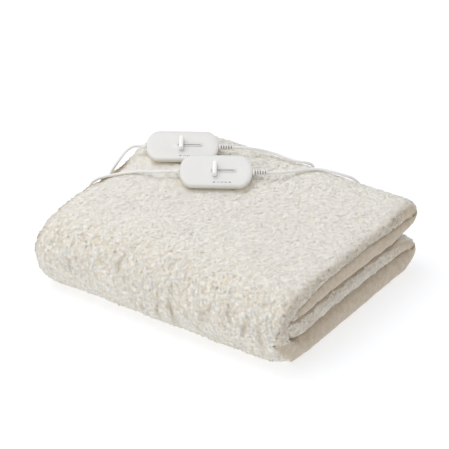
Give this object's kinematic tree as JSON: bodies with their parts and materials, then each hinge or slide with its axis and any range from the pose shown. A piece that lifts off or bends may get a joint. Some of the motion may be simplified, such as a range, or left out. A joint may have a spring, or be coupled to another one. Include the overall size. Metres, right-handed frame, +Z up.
{
  "type": "folded heated mattress cover with slide controllers",
  "caption": "Thick fleece heated mattress cover folded into a block, with slide controllers lying on it and their cords and plugs.",
  "frame": {"origin": "middle of the underside of the folded cover, on the surface it rests on", "axes": "+X to the right along the fold, +Y from the front fold to the far folds, +Z up"},
  "size_m": [0.5395, 0.5313, 0.1579],
  "materials": {
    "fleece": "long sherpa pile, off-white, with a smooth beige backing at the hems",
    "controller_case": "gloss white moulding",
    "slide_knob": "satin white moulding",
    "cord_rubber": "white flexible sheath, slight sheen",
    "pin_metal": "plated contact pins"
  },
  "bodies": {
    "root": {"cover_cloth": "fleece", "front_lower_shell": "controller_case", "front_upper_shell": "controller_case", "front_strain_relief": "cord_rubber", "front_cord_inlet": "cord_rubber", "rear_lower_shell": "controller_case", "rear_upper_shell": "controller_case", "rear_strain_relief": "cord_rubber", "rear_cord_inlet": "cord_rubber", "front_cover_lead": "cord_rubber", "rear_cover_lead": "cord_rubber", "front_mains_cord": "cord_rubber", "rear_mains_cord": "cord_rubber", "front_lead_grommet": "cord_rubber", "rear_lead_grommet": "cord_rubber", "front_cord_coil": "cord_rubber", "front_plug_tail": "cord_rubber", "front_plug_relief": "cord_rubber", "front_plug_body": "controller_case", "front_plug_pin_near": "pin_metal", "front_plug_pin_far": "pin_metal", "rear_cord_coil": "cord_rubber", "rear_plug_tail": "cord_rubber", "rear_plug_relief": "cord_rubber", "rear_plug_body": "controller_case", "rear_plug_pin_near": "pin_metal", "rear_plug_pin_far": "pin_metal"},
    "front_knob": {"front_slide_knob": "slide_knob"},
    "rear_knob": {"rear_slide_knob": "slide_knob"}
  },
  "joints": [
    {"name": "front_heat_slide", "type": "slide", "parent": "root", "child": "front_knob", "axis": [0.8387, 0.5446, 0], "range_m": [0, 0.026]},
    {"name": "rear_heat_slide", "type": "slide", "parent": "root", "child": "rear_knob", "axis": [0.8387, 0.5446, 0], "range_m": [0, 0.026]}
  ]
}
